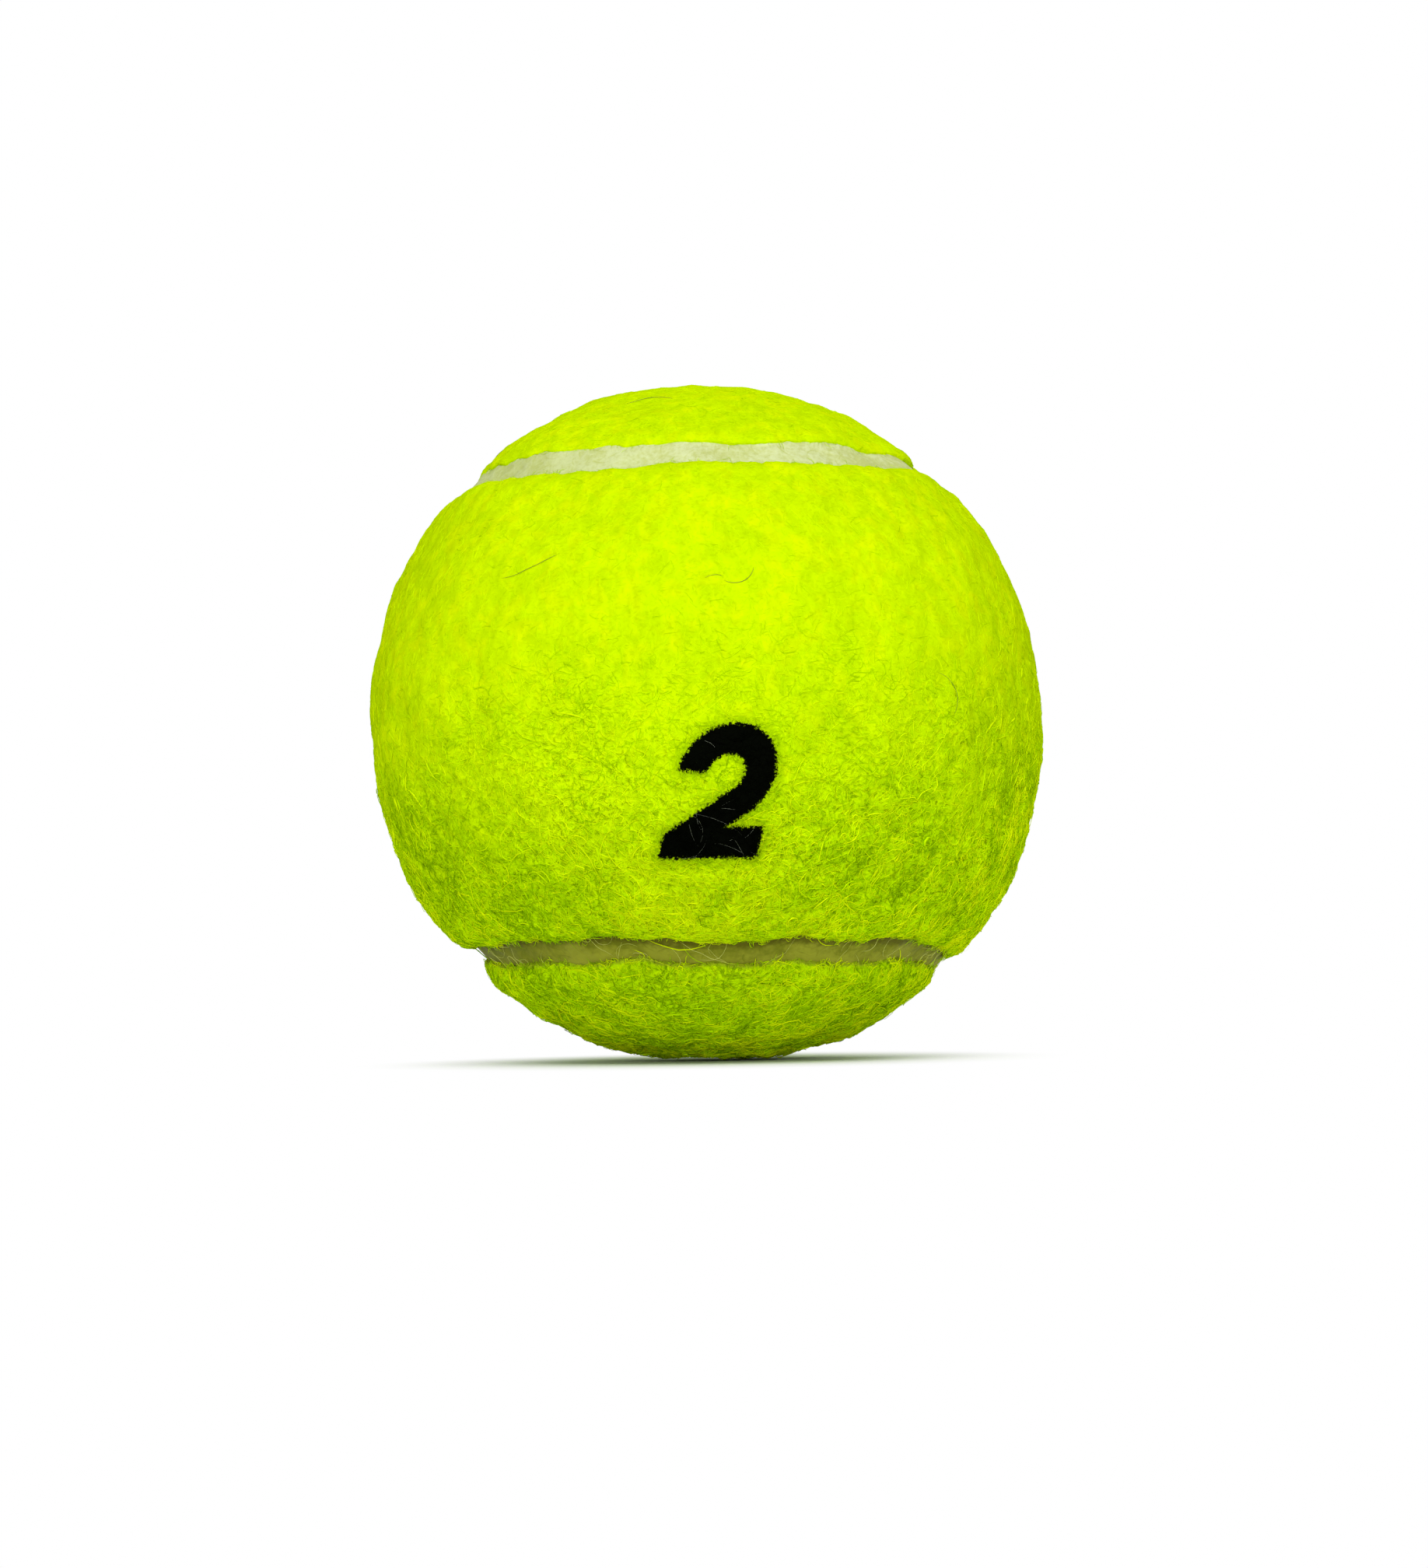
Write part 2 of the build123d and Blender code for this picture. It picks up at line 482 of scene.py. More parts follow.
# The seam is its section carried round the front panel's loop at the seam's angle: up one side,
# across a slightly hollow, slightly uneven face and down the other side, closed along the core
def seamStrip(finish):
    spine, away = panelLoop()
    across = np.linspace(-1, 1, seam["acrossSteps"])
    share = np.concatenate([[-1], across, [1]])[:, None]
    path = math.cos(felt["seamAngle"]) * spine + math.sin(felt["seamAngle"]) * away
    b = felt["seamAngle"] + (share * seam["width"] / 2 + seamDrift(path)) / ballRadius
    d = np.cos(b)[..., None] * spine + np.sin(b)[..., None] * away
    size, height = seam["wave"]
    raised = fluff(d)
    face = ballRadius - between(seam["recess"], raised) * sinkShare(d)
    face = face - seam["hollow"] * (1 - share**2)
    face = face + seam["tilt"] * share * (1 - raised)
    face = face + height * lumps(d * ballRadius, size, seeds["seamWave"]) + ballLumps(d)
    face[[0, -1]] = coreRadius
    points = d * face[..., None]
    points, triangles = ringTriangles(np.concatenate([points, points[:1]]))
    d = unit(points)
    aside = (spineOf(d)[2] - felt["seamAngle"]) * ballRadius - seamDrift(d)
    marks = {"aside": aside / (felt["seamWidth"] / 2)}  # -1 at the front panel, 1 at the back one
    piece = addPiece("seam_rubber", points, triangles, finish, marks)
    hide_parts("seam_strip")
    print(piece.name, len(triangles), "triangles")


nap = {
    "seeds": (11, 1),  # for the places, and for the strands
    "count": 110000,
    "sparse": 0.6,  # share that is kept where the felt is smooth
    "length": 1.7 * mm,
    "lengthSpread": 0.4,
    "radius": 0.036 * mm,
    "radiusSpread": 0.25,
    "flatRadius": 0.75,  # share of it where the felt is smooth
    "taper": 0.45,  # share of it that is lost towards the ends
    "lift": 0.07 * mm,
    "liftShape": 2.0,  # of the gamma curve that the lifts follow
    "flatLift": 0.2,  # share of it where the felt is smooth
    "root": 0.05 * mm,  # how deep the ends lie in the felt
    "bend": 2.6,  # spread of the whole turn, in radians
    "comb": 0.55,  # spread of the headings about the shared one, in radians
    "swirl": (6.0 * mm, 0.9),  # size and spread of the heading that neighbours share
    "steps": 3,
    "perPiece": 15000,
    "tone": (0.46, 0.16),  # middle and spread, from 0, in shade, to 1, light
    # Size and spread of the tone that neighbours share
    "clumps": ((2.4 * mm, 0.2), (5.0 * mm, 0.19), (9.0 * mm, 0.1)),
    "loose": 0.0,  # share that is pale over the seam and bleached over the print
    "looseThinning": 0.3,  # share of the radius that those lose
    "overhang": 0.3 * mm,  # they turn pale over this distance past the cut edge
    "slack": 0.2 * mm,  # a strand that goes further past the cut edge reaches over the seam
    "bridges": 0.03,  # share of those reaching over the seam that are kept
    "inside": 0.9 * mm,  # those along the cut edges start within this distance of them
    "swing": 1.3,  # spread of their headings about the straight way over the seam, in radians
    "clear": ((-0.74, -0.12, -0.66), 0.2),  # direction and spread of a stretch of edge without them
}
curls = dict(
    nap, seeds=(12, 2), count=24000, sparse=0.02, length=2.9 * mm, radius=0.054 * mm, lift=0.06 * mm,
    bend=4.2, steps=6, perPiece=6000, tone=(0.7, 0.13), bridges=0.06,
)
floss = dict(
    nap, seeds=(14, 4), count=2200, sparse=0.25, length=3.2 * mm, radius=0.009 * mm, lift=0.1 * mm,
    bend=1.3, steps=8, perPiece=4000, loose=1.0,
)
fuzz = dict(
    nap, seeds=(15, 5), count=6500, sparse=0.4, length=0.58 * mm, radius=0.03 * mm, lift=0.02 * mm,
    bend=2.4, bridges=1.0, inside=0.4 * mm,
)
fray = dict(
    floss, seeds=(13, 3), count=240, sparse=0.05, length=3.4 * mm, lengthSpread=0.55,
    radius=0.028 * mm, lift=0.05 * mm, bend=3.4, bridges=1.0, swing=1.2,
)
hairs = dict(
    nap, seeds=(None, 6), length=3.8 * mm, lengthSpread=0.3, radius=0.034 * mm, lift=0.4 * mm,
    root=0.0, bend=1.6, steps=9, bridges=1.0,
)
hairs["places"] = (  # azimuth, elevation and heading in degrees
    (-28, 62, 20), (-36, 19, 5), (0, 16.5, 30), (3, 16.2, -25), (41, -4, 60), (100, 35, 10),
    (140, -20, 80), (170, 40, 130), (-120, 10, 45), (-150, -35, 0), (-75, 50, 100), (60, 70, 60),
)


# Two directions along the surface at a place on the ball, square to each other
def compass(d):
    nearPole = 0.8
    pole = np.where((abs(d[:, 2]) < nearPole)[:, None], (0.0, 0.0, 1.0), (0.0, 1.0, 0.0))
    east = unit(np.cross(pole, d))
    return east, np.cross(d, east)


# Random directions on felt, fewer where it is smooth; neighbours share a heading, from which each
# strays a little, and half of them head the other way
def feltPlaces(look):
    draw = np.random.default_rng(look["seeds"][0])
    d = unit(draw.normal(size=(look["count"], 3)))
    onFelt = edgeDistance(d) > 0
    kept = draw.uniform(size=len(d)) < look["sparse"] + (1 - look["sparse"]) * fluff(d)
    d = d[onFelt & kept]
    east, north = compass(d)
    size, spread = look["swirl"]
    turn = spread * lumps(d * ballRadius, size, seeds["swirl"])
    turn = turn + draw.normal(0, look["comb"], len(d))
    heading = (turn + np.pi * draw.integers(0, 2, len(d)))[:, None]
    return d, np.cos(heading) * east + np.sin(heading) * north


# Random places just inside the cut edges of both panels, heading out over the seam, fewer where
# the felt is smooth and hardly any on the clear stretch
def edgePlaces(look):
    draw = np.random.default_rng(look["seeds"][0])
    spine, away = panelLoop()
    places = []
    headings = []
    for side, axes in panelAxes.items():
        pick = draw.integers(0, len(spine), look["count"] // 2)
        edge = edgeOf(spine, away)[pick]
        inside = draw.uniform(0.0, look["inside"], len(pick)) - edgeWander(edge @ axes, side)
        b = (edgeAngle - inside / ballRadius)[:, None]
        places.append((np.cos(b) * spine[pick] + np.sin(b) * away[pick]) @ axes)
        out = np.cos(b) * away[pick] - np.sin(b) * spine[pick]
        along = np.cross(spine[pick], away[pick])
        swing = draw.normal(0, look["swing"], len(pick))[:, None]
        headings.append((np.cos(swing) * out + np.sin(swing) * along) @ axes)
    places = np.concatenate(places)
    share = look["sparse"] + (1 - look["sparse"]) * fluff(places)
    kept = draw.uniform(size=len(places)) < share * (1 - bell(places, *look["clear"]))
    return places[kept], np.concatenate(headings)[kept]


# A few chosen places, with the heading of the strand that lies there, from east towards north
def hairPlaces(look):
    azimuth, elevation, turn = np.radians(np.array(look["places"])).T
    flat = np.cos(elevation)
    d = np.stack([np.sin(azimuth) * flat, -np.cos(azimuth) * flat, np.sin(elevation)], -1)
    east, north = compass(d)
    return d, np.cos(turn)[:, None] * east + np.sin(turn)[:, None] * north


# Each strand walks over the ball in short steps, turning a little at each, and rises and falls on
# a parabola over the felt; its tube has three sides and comes to a point at both ends
def strands(name, look, starts, heading, finish):
    draw = np.random.default_rng(look["seeds"][1])
    steps = look["steps"]
    length = look["length"] * np.exp(draw.normal(0, look["lengthSpread"], len(starts)))
    bend = draw.normal(0, look["bend"], len(starts))[:, None] / steps
    at = starts
    places = [at]
    for k in range(steps):
        at = unit(at + (length / steps / ballRadius)[:, None] * heading)
        heading = unit(heading - at * np.sum(at * heading, axis=-1, keepdims=True))
        heading = np.cos(bend) * heading + np.sin(bend) * np.cross(at, heading)
        places.append(at)
    d = np.stack(places, axis=1)
    inside = edgeDistance(d)
    stays = inside.min(axis=1) > -look["slack"]
    kept = stays | (draw.uniform(size=len(d)) < look["bridges"])
    d = d[kept]
    inside = inside[kept]
    count = len(d)
    raised = fluff(d[:, 0])
    lift = look["lift"] * draw.gamma(look["liftShape"], 1 / look["liftShape"], count)
    lift = lift * between((look["flatLift"], 1), raised)
    share = np.linspace(0, 1, steps + 1)
    fromMiddle = abs(2 * share - 1)
    height = 4 * share * (1 - share) * lift[:, None] - look["root"] * fromMiddle
    points = d * (feltRadius(d, inside) + height)[..., None]
    bare = np.clip(-inside / look["overhang"], 0, 1)
    bare = np.concatenate([bare[:, :1], np.repeat(bare[:, 1:-1], 3, axis=1), bare[:, -1:]], axis=1)
    along = unit(points[:, 2:] - points[:, :-2])
    across = unit(np.cross(along, d[:, 1:-1]))
    up = np.cross(across, along)
    loose = (draw.uniform(size=count) < look["loose"]).astype(float)
    thick = look["radius"] * np.exp(draw.normal(0, look["radiusSpread"], count))
    thick = thick * between((look["flatRadius"], 1), raised) * (1 - look["looseThinning"] * loose)
    thick = thick[:, None] * (1 - look["taper"] * fromMiddle[1:-1])
    corner = np.pi / 2 + 2 * np.pi / 3 * np.arange(3)
    ring = np.cos(corner)[:, None] * across[:, :, None] + np.sin(corner)[:, None] * up[:, :, None]
    tube = points[:, 1:-1, None] + thick[..., None, None] * ring
    points = np.concatenate([points[:, :1], tube.reshape(count, -1, 3), points[:, -1:]], axis=1)
    tone = draw.normal(*look["tone"], count)
    for k, (size, spread) in enumerate(look["clumps"]):
        tone += spread * lumps(d[:, 0] * ballRadius, size, seeds["clumps"] + k)
    # The painted light and shade are added to each strand's tone
    tone = np.clip(tone + paintedLightAndShadeTone(d[:, 0]), 0, 1)
    marks = {"tone": tone, "loose": loose, "fluff": raised, "bare": bare}
    triangles = strandTriangles(steps)
    pieces = math.ceil(count / look["perPiece"])
    for k in range(pieces):
        part = slice(k * look["perPiece"], (k + 1) * look["perPiece"])
        partMarks = {mark: values[part] for mark, values in marks.items()}
        strandPiece(f"{name}_{k + 1}", points[part], triangles, partMarks, finish)
    print(name, count, "strands in", pieces, "pieces")


# One strand's triangles: a fan at each tip and six between neighbouring rings of three
def strandTriangles(steps):
    around = np.arange(3)
    after = (around + 1) % 3
    rings = 1 + 3 * np.arange(steps - 1)
    last = 1 + 3 * (steps - 1)
    tips = [np.stack([0 * around, 1 + around, 1 + after], -1)]
    tips.append(np.stack([last + 0 * around, rings[-1] + after, rings[-1] + around], -1))
    near = (rings[:-1, None] + around).ravel()
    nearNext = (rings[:-1, None] + after).ravel()
    sides = [np.stack([near, near + 3, nearNext], -1)]
    sides.append(np.stack([nearNext, near + 3, nearNext + 3], -1))
    return np.concatenate(tips + sides)


# One strand rolled out flat on a square, for the same triangles: along it and round it
def strandMap(steps):
    around = np.arange(3)
    ring = np.arange(1, steps - 1)[:, None] + 0 * around
    side = 0 * ring + around
    low = np.stack([ring.ravel(), side.ravel()], -1)
    tip = np.stack([0 * around, around + 0.5], -1)
    first = np.stack([0 * around + 1, around], -1)
    end = np.stack([0 * around + steps, around + 0.5], -1)
    last = np.stack([0 * around + steps - 1, around], -1)
    tips = [np.stack([tip, first, first + (0, 1)], 1), np.stack([end, last + (0, 1), last], 1)]
    sides = [np.stack([low, low + (1, 0), low + (0, 1)], 1)]
    sides.append(np.stack([low + (0, 1), low + (1, 0), low + (1, 1)], 1))
    return np.concatenate(tips + sides) / (steps, 3)


# Many strands in one mesh: a mark is one number for each strand, or one for each of its points;
# the map has a square cell for each strand, with a margin that is a share of the cell
def strandPiece(name, points, triangles, marks, finish):
    margin = 0.12
    count, each = points.shape[:2]
    every = (triangles[None] + each * np.arange(count)[:, None, None]).reshape(-1, 3)
    pointMarks = {}
    for mark, values in marks.items():
        pointMarks[mark] = np.repeat(values, count * each // values.size)
    cells = math.ceil(math.sqrt(count))
    corner = np.stack(np.divmod(np.arange(count), cells), -1)[:, None, None]
    flat = strandMap((each - 2) // 3 + 1)
    bakeMap = (corner + margin + (1 - 2 * margin) * flat) / cells
    addPiece(name, points.reshape(-1, 3), every, finish, pointMarks, bakeMap)


ink = {
    "place": (1.3 * mm, -9.2 * mm),  # the number's middle, along X and Z
    "width": 8.8 * mm,
    "height": 11.8 * mm,
    "stroke": 2.8 * mm,
    "slant": 0.24,
    "bowlStart": math.radians(178),
    "corner": 0.4 * mm,
    "overlap": 0.9 * mm,  # the straight stroke runs on by this inside the ring
    "grain": {"size": 0.25 * mm, "detail": 3.0, "roughness": 0.7},
    "ragged": 1.5 * mm,
    "soft": 0.12 * mm,
    "stain": (1.2 * mm, 0.45),  # how far the ink stains the felt beside it, and how much
    "colour": (0.0015, 0.002, 0.001, 1),
}
feltColours = {
    "shade": (0.19, 0.39, 0.0, 1),
    "smooth": (0.575, 0.83, 0.0, 1),
    "yellow": (0.66, 0.84, 0.0, 1),
    "raised": (0.56, 0.88, 0.0, 1),
    "light": (0.82, 1.0, 0.002, 1),
    "pale": (0.72, 0.74, 0.19, 1),
    "bleached": (0.3, 0.33, 0.25, 1),
    # painted shade along the cut edge where the nap is raised
    "paintedEdgeShade": (0.22, 0.22, 0.02, 1),
}


# Two distances met at a rounded corner: the way past the corner's circle, below zero is inside
def rounded(first, second):
    first = first + ink["corner"]
    second = second + ink["corner"]
    pastFirst = first.maths("MAXIMUM", 0.0)
    pastSecond = second.maths("MAXIMUM", 0.0)
    past = (pastFirst * pastFirst + pastSecond * pastSecond).maths("SQRT")
    return past + first.maths("MAXIMUM", second).maths("MINIMUM", 0.0) - ink["corner"]


# The play number 2 as distances from its strokes: a ring cut to an arc, a straight stroke that
# leaves the ring as a tangent, and a bar along the foot; below zero is inside
def numberShape(x, z):
    half = ink["stroke"] / 2
    bowl = ink["width"] / 2 - half
    bowlZ = ink["height"] / 2 - ink["width"] / 2
    foot = (half - ink["width"] / 2, half - ink["height"] / 2)
    reach = math.hypot(foot[0], foot[1] - bowlZ)
    slope = math.atan2(bowlZ - foot[1], -foot[0]) - math.asin(bowl / reach)
    leave = slope - math.pi / 2  # the angle on the ring where the straight stroke begins
    middle = (ink["bowlStart"] + leave) / 2
    up = z - bowlZ
    u = x * math.cos(middle) + up * math.sin(middle)
    v = up * math.cos(middle) - x * math.sin(middle)
    ring = abs((x * x + up * up).maths("SQRT") - bowl) - half
    past = (abs(v.maths("ARCTAN2", u)) - (ink["bowlStart"] - leave) / 2) * bowl
    arc = rounded(ring, past)
    footX = x - foot[0]
    footZ = z - foot[1]
    along = footX * math.cos(slope) + footZ * math.sin(slope)
    aside = footZ * math.cos(slope) - footX * math.sin(slope)
    length = math.sqrt(reach**2 - bowl**2) + ink["overlap"]
    stroke = (abs(aside) - half).maths("MAXIMUM", abs(along - length / 2) - length / 2)
    bar = rounded(abs(x) - ink["width"] / 2, abs(footZ) - half).maths("MAXIMUM", aside - half)
    return arc.maths("MINIMUM", stroke).maths("MINIMUM", bar)


# Inks a colour inside the number, with a ragged edge, and stains it a little beside the number
def printNumber(finish, places, colour, inked):
    x, y, z = finish.split(places)
    z = z - ink["place"][1]
    x = x - ink["place"][0] - ink["slant"] * z
    shape = numberShape(x, z) + (finish.cloud(places, **ink["grain"]) - 0.5) * ink["ragged"]
    front = y.maths("LESS_THAN", 0.0)
    reach, strength = ink["stain"]
    stained = finish.ease(shape, reach, 0.0) * strength
    colour = finish.blend(stained * front, colour, feltColours["shade"])
    inside = finish.ease(shape, ink["soft"], -ink["soft"])
    return finish.blend(inside * front, colour, inked)


matted = {
    "upright": (1.0, 1.0, 0.6),  # the streaks are longer along Z
    "streaks": {"size": 1.1 * mm, "detail": 3.0, "roughness": 0.55, "twist": 0.4, "seed": 7.0},
    "grain": {"size": 0.45 * mm, "detail": 2.0, "roughness": 0.6, "twist": 0.8},
    "tufts": {"size": 1.2 * mm, "detail": 3.0, "roughness": 0.6, "twist": 0.6, "seed": 3.0},
    "tint": {"size": 2.2 * mm, "detail": 3.0, "roughness": 0.6, "twist": 0.4, "seed": 5.0},
    "mottle": {"size": 5.0 * mm, "detail": 3.0, "roughness": 0.55, "twist": 0.5, "seed": 9.0},
    "dashes": {"size": 0.95 * mm, "length": 0.8 * mm, "width": 0.16 * mm, "seed": 0.11, "level": 1.8},
    "specks": {"size": 0.7 * mm, "length": 0.5 * mm, "width": 0.12 * mm, "seed": 0.37, "level": 1.8},
    "fibres": {"size": 1.5 * mm, "length": 1.7 * mm, "width": 0.13 * mm, "seed": 0.53, "level": 1.5},
    "wisps": {"size": 1.1 * mm, "length": 1.2 * mm, "width": 0.11 * mm, "seed": 0.71, "level": 1.2},
    "patchMix": (0.3, 0.7),  # weights of grain and tufts in the dark patches
    # Where each of these is 0 and where it is 1
    "stops": {
        "streaks": (0.65, 0.35), "tint": (0.42, 0.66), "patches": (0.58, 0.36),
        "mottle": (0.65, 0.35), "gaps": (0.15, 1.0), "rim": (0.4, 0.0),
    },
    # How dark each of these is
    "dark": {"patches": 0.55, "gaps": 0.6, "mottle": 0.09, "streaks": 0.22, "smoothGaps": 0.17},
    "winding": (0.14, 0.52),  # how light the winding fibres are, on smooth and on raised felt
    # how dark the painted shade along the cut edge is
    "rim": 0.7,
    "roughness": 0.95,
    "streakRelief": 0.5,
    "relief": 0.16 * mm,
}


def feltBodyFinish():
    finish = newFinish("matted felt")
    stops = matted["stops"]
    dark = matted["dark"]
    places = finish.ownPlaces()
    raised = finish.mark("fluff")
    upright = finish.node("Mapping", None, {"Vector": places, "Scale": matted["upright"]})
    streaks = finish.cloud(upright, **matted["streaks"])
    grain, tufts, tint, mottle = (
        finish.cloud(places, **matted[name]) for name in ("grain", "tufts", "tint", "mottle")
    )
    dashes, specks, fibres, wisps = (
        finish.strokes(places, **matted[name]) for name in ("dashes", "specks", "fibres", "wisps")
    )
    gaps = dashes.maths("MAXIMUM", specks)
    winding = fibres.maths("MAXIMUM", wisps)
    tinted = finish.ease(tint, *stops["tint"])
    smooth = finish.blend(tinted, feltColours["smooth"], feltColours["yellow"])
    colour = finish.blend(raised, smooth, feltColours["raised"])
    patchy = grain * matted["patchMix"][0] + tufts * matted["patchMix"][1]
    onRaised = finish.ease(patchy, *stops["patches"]) * dark["patches"] * raised
    onRaised = onRaised + gaps * dark["gaps"] * finish.ease(raised, *stops["gaps"])
    onSmooth = finish.ease(streaks, *stops["streaks"]) * dark["streaks"] + gaps * dark["smoothGaps"]
    onBoth = finish.ease(mottle, *stops["mottle"]) * dark["mottle"]
    shaded = onRaised + onSmooth * (1 - raised) + onBoth
    colour = finish.blend(shaded, colour, feltColours["shade"])
    colour = finish.blend(winding * between(matted["winding"], raised), colour, feltColours["light"])
    # Painted light: the felt is lighter where the painted patches lie
    colour = finish.blend(finish.mark("paintedLightAndShade"), colour, feltColours["light"])
    # Painted shade along the cut edge of raised felt
    rim = finish.ease(finish.mark("rim"), *stops["rim"]) * raised * matted["rim"]
    colour = finish.blend(rim, colour, feltColours["paintedEdgeShade"])
    colour = printNumber(finish, places, colour, ink["colour"])
    sockets = {"Base Color": colour, "Roughness": matted["roughness"], "Specular IOR Level": 0.0}
    relief = (grain + tufts + winding - gaps) * raised + matted["streakRelief"] * streaks
    return finish.surface(sockets, relief, matted["relief"])


napLook = {
    # Tones where each is 0 and where it is 1, and its strength on smooth and on raised felt
    "shade": {"stops": (0.45, 0.0), "strength": (0.18, 0.75)},
    "light": {"stops": (0.5, 0.9), "strength": (0.25, 1.0)},
    "roughness": 0.9,
}


def strandFinish():
    finish = newFinish("felt nap")
    places = finish.ownPlaces()
    tone = finish.mark("tone")
    loose = finish.mark("loose")
    raised = finish.mark("fluff")
    colour = finish.blend(raised, feltColours["smooth"], feltColours["raised"])
    for name in ("shade", "light"):
        look = napLook[name]
        factor = finish.ease(tone, *look["stops"]) * between(look["strength"], raised)
        colour = finish.blend(factor, colour, feltColours[name])
    colour = finish.blend(loose, colour, feltColours["light"])
    colour = finish.blend(loose * finish.mark("bare"), colour, feltColours["pale"])
    inked = finish.blend(loose, ink["colour"], feltColours["bleached"])
    colour = printNumber(finish, places, colour, inked)
    sockets = {"Base Color": colour, "Roughness": napLook["roughness"], "Specular IOR Level": 0.0}
    return finish.surface(sockets)


seamLook = {
    "stain": {"size": 4 * mm, "detail": 4.0, "roughness": 0.6},
    "grain": {"size": 0.5 * mm, "detail": 3.0, "roughness": 0.6},
    "cracks": {"size": 1.7 * mm, "length": 2.2 * mm, "width": 0.12 * mm, "seed": 0.91},
    # Weights of stain, grain and cracks, where their sum is 0 and 1, and the colours there
    "clean": {
        "weights": (0.6, 0.4, -0.12),
        "stops": (0.35, 0.63),
        "colours": ((0.5, 0.55, 0.18, 1), (0.64, 0.7, 0.36, 1)),
    },
    # Soil with painted shade and the green of light bounced off the felt, lighter towards the back
    # panel
    "soiledAndShaded": {
        "weights": (0.8, 0.2, -0.08),
        "asideWeight": 0.12,
        "stops": (0.36, 0.66),
        "colours": ((0.17, 0.187, 0.006, 1), (0.325, 0.335, 0.027, 1)),
    },
    # Where along X, in radii, each of these is 0 and where it is full, and its strength
    "yellowed": ((0.05, -0.6, 0.4), (0.4, 0.7, 0.15)),
    "yellow": (0.42, 0.48, 0.12, 1),
    # painted shade towards the left end of the lower seam
    "leftEndShade": (-0.35, -0.65, 0.5),
    "leftEndShadeColour": (0.09, 0.11, 0.005, 1),
    # The lower seam's painted shade and soil: none above the first height, full below the second
    "shadeAndSoilHeights": (8 * mm, -14 * mm),  # clean above the first, soiled below the second
    "shadeAndSoilWander": 12 * mm,
    # A painted shadow, with some grime, along the front panel's overhanging edge
    "edgeShadowStops": (-0.15, -0.7),  # across the seam, towards the front panel
    "edgeShadowWander": 0.6,
    "edgeShadowStrength": 0.7,
    "edgeShadowAndGrime": (0.085, 0.075, 0.002, 1),
    "roughness": (0.6, 0.8),
    "specular": 0.1,
    "stainRelief": 2,
    "relief": 0.1 * mm,
}


# Cream rubber above and, below, soiled rubber with painted shade and the green of light bounced off
# the felt, yellowed towards both ends of the front, with painted shade towards the left end and a
# painted shadow, with some grime, along the front panel's edge; each tone is a weighted sum of stain,
# grain and cracks
def seamFinish():
    finish = newFinish("cream seam rubber")
    clean = seamLook["clean"]
    soiledAndShaded = seamLook["soiledAndShaded"]
    places = finish.ownPlaces()
    aside = finish.mark("aside")
    stain = finish.cloud(places, **seamLook["stain"])
    grain = finish.cloud(places, **seamLook["grain"])
    cracks = finish.strokes(places, **seamLook["cracks"])
    x, y, z = finish.split(places)
    cream, shadedSoilPattern = (
        sum(part * weight for part, weight in zip((stain, grain, cracks), look["weights"]))
        for look in (clean, soiledAndShaded)
    )
    colour = finish.blend(finish.ease(cream, *clean["stops"]), *clean["colours"])
    ends = sum(
        finish.ease(x, none * ballRadius, full * ballRadius) * strength
        for none, full, strength in seamLook["yellowed"]
    )
    colour = finish.blend(ends, colour, seamLook["yellow"])
    # Painted shade under the front panel's edge: lighter towards the back panel
    shadedSoilPattern = shadedSoilPattern + soiledAndShaded["asideWeight"] * aside
    soilAndShade = finish.blend(finish.ease(shadedSoilPattern, *soiledAndShaded["stops"]), *soiledAndShaded["colours"])
    # Painted shade towards the left end
    none, full, strength = seamLook["leftEndShade"]
    leftEndShade = finish.ease(x, none * ballRadius, full * ballRadius) * strength
    soilAndShade = finish.blend(leftEndShade, soilAndShade, seamLook["leftEndShadeColour"])
    # Painted shadow, with some grime, along the front panel's edge
    edge = aside + seamLook["edgeShadowWander"] * (grain - 0.5)
    edgeShadowAndGrime = finish.ease(edge, *seamLook["edgeShadowStops"]) * seamLook["edgeShadowStrength"]
    soilAndShade = finish.blend(edgeShadowAndGrime, soilAndShade, seamLook["edgeShadowAndGrime"])
    # Painted shade, with soil, gives the lower seam its darker tone
    height = z + (stain - 0.5) * seamLook["shadeAndSoilWander"]
    colour = finish.blend(finish.ease(height, *seamLook["shadeAndSoilHeights"]), colour, soilAndShade)
    sockets = {"Base Color": colour, "Specular IOR Level": seamLook["specular"]}
    sockets["Roughness"] = between(seamLook["roughness"], grain)
    return finish.surface(sockets, grain + seamLook["stainRelief"] * stain, seamLook["relief"])


hairLook = {
    "shineSize": 1.0 * mm,
    "colours": ((0.012, 0.016, 0.002, 1), (0.05, 0.06, 0.01, 1)),
    "roughness": 0.5,
}


def hairFinish():
    finish = newFinish("dark hair")
    shine = finish.cloud(finish.ownPlaces(), hairLook["shineSize"])
    colour = finish.blend(shine, *hairLook["colours"])
    return finish.surface({"Base Color": colour, "Roughness": hairLook["roughness"]})


coreRubber = {
    "colours": ((0.05, 0.045, 0.04, 1), (0.09, 0.08, 0.07, 1)),
    "size": 3 * mm,
    "clouds": {"detail": 4.0, "roughness": 0.6},
    "stops": (0.3, 0.7),
    "grainSize": 1 / 8,  # as a share of the clouds' size
    "roughness": (0.6, 0.75),
    "relief": 0.04 * mm,
}
cement = {
    **coreRubber,
    "colours": ((0.42, 0.33, 0.15, 1), (0.6, 0.5, 0.27, 1)),
    "size": 2 * mm,
    "roughness": (0.3, 0.45),
}


def rubberFinish(name, look):
    finish = newFinish(name)
    places = finish.ownPlaces()
    clouds = finish.cloud(places, look["size"], **look["clouds"])
    grain = finish.cloud(places, look["size"] * look["grainSize"])
    colour = finish.blend(finish.ease(clouds, *look["stops"]), *look["colours"])
    sockets = {"Base Color": colour, "Roughness": between(look["roughness"], grain)}
    return finish.surface(sockets, grain, look["relief"])


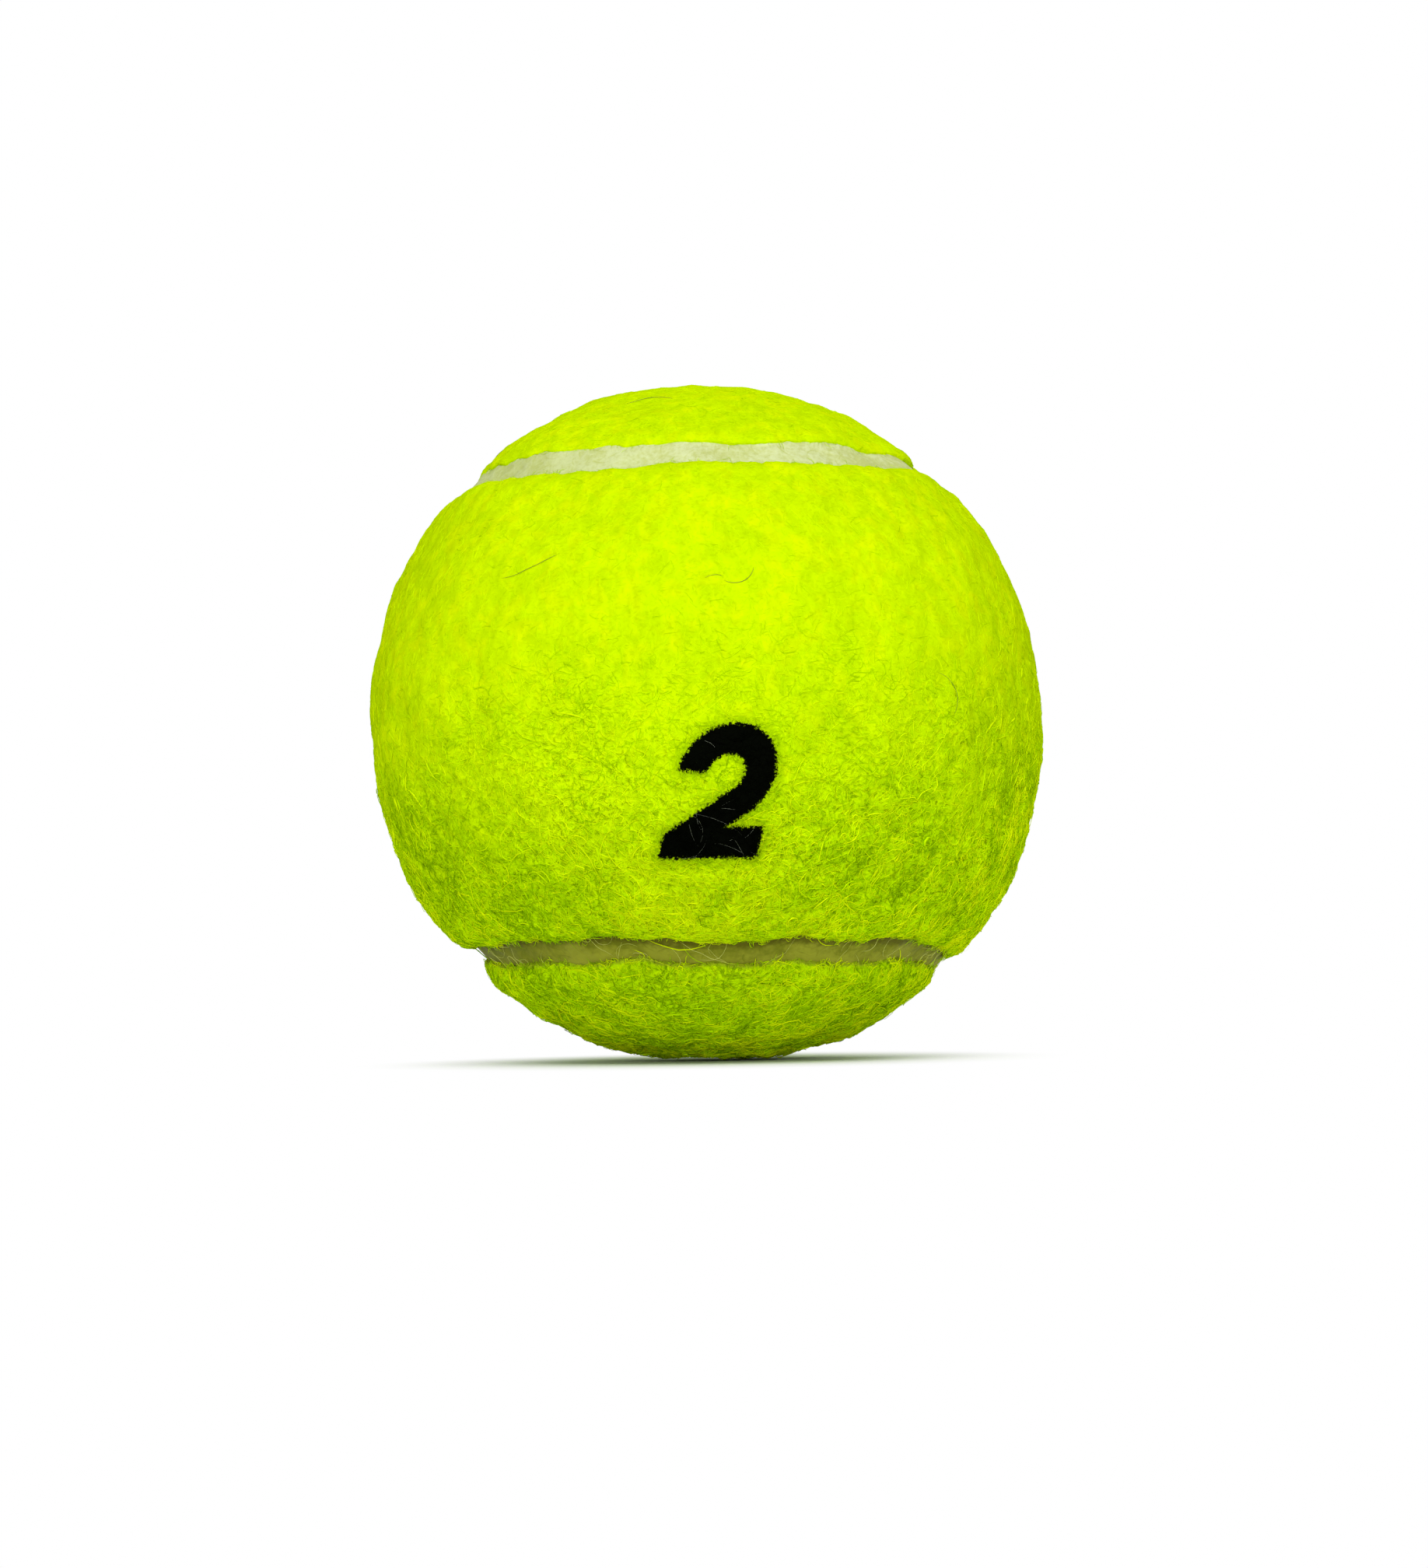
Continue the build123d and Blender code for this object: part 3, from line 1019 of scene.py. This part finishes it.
def dressCore():
    rubberLook = rubberFinish("core rubber", coreRubber)
    cementLook = rubberFinish("rubber cement", cement)
    for node in ("core_upper_half", "core_lower_half"):
        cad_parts[node].material_slots[0].material = rubberLook
    for node in ("core_joint_cement", "front_panel_cement", "back_panel_cement"):
        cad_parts[node].material_slots[0].material = cementLook


# Where the photograph was taken from, and where the ball's middle is in its 1836 by 2016 pixels
shot = {
    "distance": 8.0,  # in ball radii
    "azimuth": 0.0,
    "elevation": -5.8,
    "roll": -0.9,
    "frame": (1836, 2016),
    "middle": (908.4, 929.9),
    "outline": 434.1,  # radius of the ball's outline in pixels
    "sensor": 36.0,  # in millimetres
}


# The outline of a ball at a distance of D radii is at the tangent angle, whose tangent is
# 1 / sqrt(D^2 - 1), so the outline's radius in pixels gives the focal length in pixels
def addCamera():
    focal = shot["outline"] * math.sqrt(shot["distance"] ** 2 - 1)
    camera = bpy.data.cameras.new("photo_camera")
    camera.sensor_width = shot["sensor"]
    camera.lens = focal / max(shot["frame"]) * shot["sensor"]
    camera.clip_start = 1 * mm
    azimuth = math.radians(shot["azimuth"])
    elevation = math.radians(shot["elevation"])
    flat = math.cos(elevation)
    away = Vector((math.sin(azimuth) * flat, -math.cos(azimuth) * flat, math.sin(elevation)))
    aim = (-away).to_track_quat("-Z", "Y").to_matrix()
    right = (shot["middle"][0] - shot["frame"][0] / 2) / focal
    down = (shot["middle"][1] - shot["frame"][1] / 2) / focal
    pan = Matrix.Rotation(math.atan(right), 3, "Y")
    tilt = Matrix.Rotation(math.atan(down), 3, "X")
    roll = Matrix.Rotation(math.radians(shot["roll"]), 3, "Z")
    body = bpy.data.objects.new("photo_camera", camera)
    body.matrix_world = (aim @ roll @ pan @ tilt).to_4x4()
    body.location = away * shot["distance"] * ballRadius
    scene.collection.objects.link(body)
    scene.camera = body


studio = {
    "ambient": 0.32,
    "lamps": {  # place, width and power of each round soft lamp
        "key": ((-0.01, -0.43, 0.46), 0.4, 2.25),
        "fill": ((-0.01, -0.64, 0.0), 0.4, 2.05),
        "back": ((0.1, 0.6, 0.4), 0.6, 2.0),
        "rear": ((0.01, 0.64, 0.0), 0.4, 1.7),
    },
    "floorSize": 3.0,
    "floorGrey": 0.9,
    "shadowReach": 0.036,  # the floor is plain white beyond this distance
    "shadowCore": 0.35,  # and shows all of the shadow within this share of it
}


def whiteToTheEye(finish):  # 1 for what the camera, a mirror or a glass shows
    eye, glossy, through = (
        finish.node("LightPath", output=name)
        for name in ("Is Camera Ray", "Is Glossy Ray", "Is Transmission Ray")
    )
    return eye.maths("MAXIMUM", glossy).maths("MAXIMUM", through)


def addStudio():
    world = bpy.data.worlds.new("studio")
    scene.world = world
    finish = Finish(world)
    grey = (studio["ambient"],) * 3 + (1,)
    colour = finish.blend(whiteToTheEye(finish), grey, (1, 1, 1, 1))
    background = finish.node("Background", None, {"Color": colour})
    finish.node("OutputWorld", None, {"Surface": background})
    for name, (place, width, power) in studio["lamps"].items():
        lamp = bpy.data.lights.new(name, "AREA")
        lamp.shape = "DISK"
        lamp.size = width
        lamp.energy = power
        stand = bpy.data.objects.new(name, lamp)
        stand.location = place
        stand.rotation_mode = "QUATERNION"
        stand.rotation_quaternion = (-stand.location).to_track_quat("-Z", "Y")
        scene.collection.objects.link(stand)


# The floor is a plain sheet under the ball; it shows the shadow near the ball and is white beyond
def addFloor():
    half = studio["floorSize"] / 2
    corners = [(-half, -half), (half, -half), (half, half), (-half, half)]
    mesh = bpy.data.meshes.new("floor")
    mesh.from_pydata([(x, y, -ballRadius) for x, y in corners], [], [(0, 1, 2, 3)])
    finish = newFinish("white floor")
    x, y, z = finish.split(finish.ownPlaces())
    out = (x * x + y * y).maths("SQRT")
    reach = studio["shadowReach"]
    fade = finish.ease(out, studio["shadowCore"] * reach, reach)
    white = finish.node("Emission", None, {"Color": (1, 1, 1, 1), "Strength": 1.0})
    grey = (studio["floorGrey"],) * 3 + (1,)
    matt = finish.node("BsdfDiffuse", None, {"Color": grey})
    mixed = finish.node("MixShader", None, {0: fade * whiteToTheEye(finish), 1: matt, 2: white})
    finish.node("OutputMaterial", None, {"Surface": mixed})
    mesh.materials.append(finish.owner)
    floor = bpy.data.objects.new("floor", mesh)
    scene.collection.objects.link(floor)


addCamera()
addStudio()
addFloor()
print("camera, light and floor made")

dressCore()
bodyFinish = feltBodyFinish()
napFinish = strandFinish()
seamStrip(seamFinish())
panels = [feltPanel(side, bodyFinish) for side in panelAxes]
strands("nap", nap, *feltPlaces(nap), napFinish)
strands("curls", curls, *feltPlaces(curls), napFinish)
strands("floss", floss, *feltPlaces(floss), napFinish)
strands("fuzz", fuzz, *edgePlaces(fuzz), napFinish)
strands("fray", fray, *edgePlaces(fray), napFinish)
strands("hairs", hairs, *hairPlaces(hairs), hairFinish())
